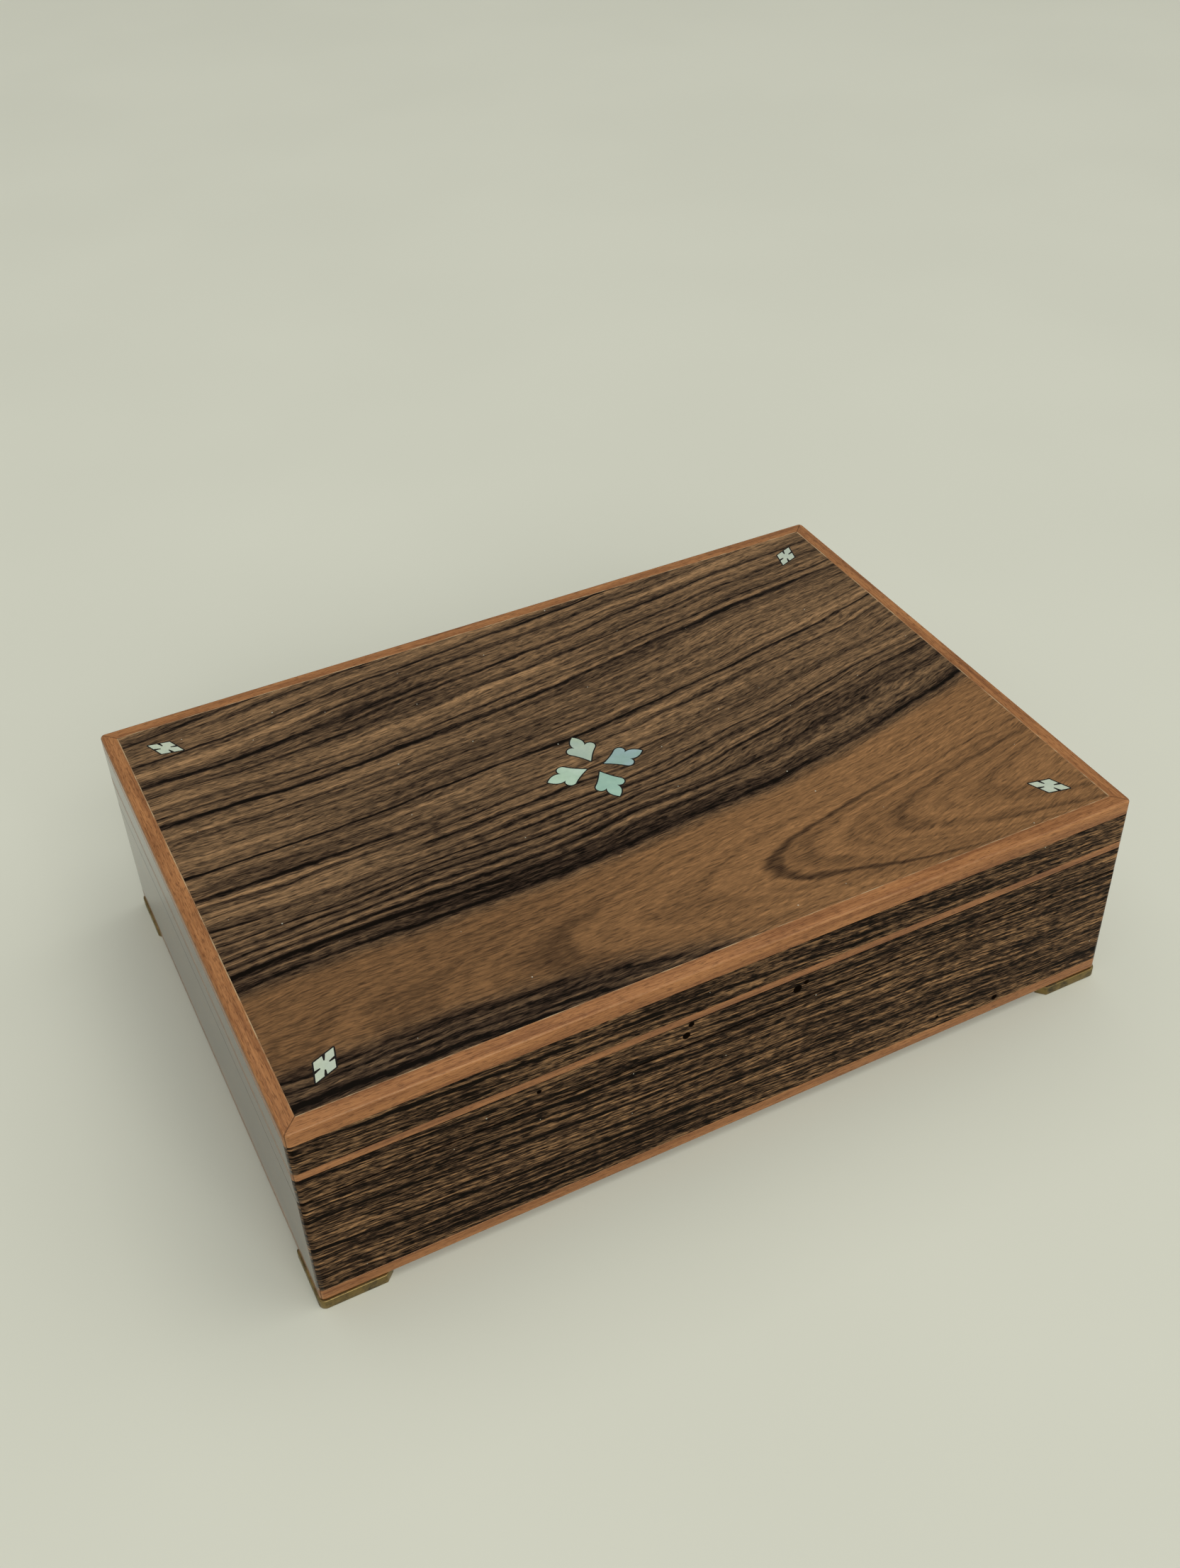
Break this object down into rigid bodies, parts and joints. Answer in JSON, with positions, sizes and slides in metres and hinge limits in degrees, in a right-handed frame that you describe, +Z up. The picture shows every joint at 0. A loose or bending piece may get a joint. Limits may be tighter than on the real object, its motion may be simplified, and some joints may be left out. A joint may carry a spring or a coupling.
{
  "type": "inlaid wooden box",
  "caption": "Low rectangular wooden box with a hinged lid, streaked dark veneer, red-brown edging and stringing, and pearl shell inlays on the lid.",
  "frame": {"origin": "on the floor under the middle of the box, at the undersides of the feet", "axes": "+X to the right along the front, +Y from the front to the hinged back, +Z up"},
  "size_m": [0.2408, 0.169, 0.067],
  "materials": {
    "figured_veneer": "dark streaked veneer, clear satin lacquer",
    "edging": "red-brown solid strip, satin lacquer",
    "core_board": "plain core board, stained inside",
    "bottom_panel": "bare plywood",
    "foot_brass": "aged brass, dull",
    "hinge_brass": "polished brass",
    "screw_brass": "polished brass, slotted heads",
    "mother_of_pearl": "polished mother-of-pearl shell",
    "dark_filler": "black filler, rubbed flush",
    "velvet": "dark red velvet"
  },
  "bodies": {
    "base": {"base_front_board": "core_board", "base_right_board": "core_board", "base_back_board": "core_board", "base_left_board": "core_board", "base_bottom_panel": "bottom_panel", "base_front_veneer": "figured_veneer", "base_right_veneer": "figured_veneer", "base_back_veneer": "figured_veneer", "base_left_veneer": "figured_veneer", "bottom_front_edging": "edging", "bottom_right_edging": "edging", "bottom_back_edging": "edging", "bottom_left_edging": "edging", "front_left_foot": "foot_brass", "front_right_foot": "foot_brass", "back_right_foot": "foot_brass", "back_left_foot": "foot_brass", "foot_screws": "screw_brass", "base_front_lining": "velvet", "base_right_lining": "velvet", "base_back_lining": "velvet", "base_left_lining": "velvet", "base_floor_pad": "velvet", "left_hinge_base_leaf": "hinge_brass", "right_hinge_base_leaf": "hinge_brass", "left_hinge_pin": "hinge_brass", "right_hinge_pin": "hinge_brass", "base_hinge_screws": "screw_brass"},
    "lid": {"lid_front_board": "core_board", "lid_right_board": "core_board", "lid_back_board": "core_board", "lid_left_board": "core_board", "lid_top_board": "core_board", "lid_top_veneer": "figured_veneer", "lid_front_veneer": "figured_veneer", "lid_right_veneer": "figured_veneer", "lid_back_veneer": "figured_veneer", "lid_left_veneer": "figured_veneer", "lid_front_stringing": "edging", "lid_right_stringing": "edging", "lid_back_stringing": "edging", "lid_left_stringing": "edging", "top_front_edging": "edging", "top_right_edging": "edging", "top_back_edging": "edging", "top_left_edging": "edging", "centre_inlay_front": "mother_of_pearl", "centre_inlay_right": "mother_of_pearl", "centre_inlay_back": "mother_of_pearl", "centre_inlay_left": "mother_of_pearl", "corner_inlay_front_left": "mother_of_pearl", "corner_inlay_front_right": "mother_of_pearl", "corner_inlay_back_right": "mother_of_pearl", "corner_inlay_back_left": "mother_of_pearl", "inlay_filler_beds": "dark_filler", "lid_ceiling_pad": "velvet", "left_hinge_lid_leaf": "hinge_brass", "right_hinge_lid_leaf": "hinge_brass", "lid_hinge_screws": "screw_brass"}
  },
  "joints": [
    {"name": "lid_hinge", "type": "hinge", "parent": "base", "child": "lid", "pos_m": [0, 0.0836, 0.042], "axis": [-1, 0, 0], "range_deg": [0, 100]}
  ]
}
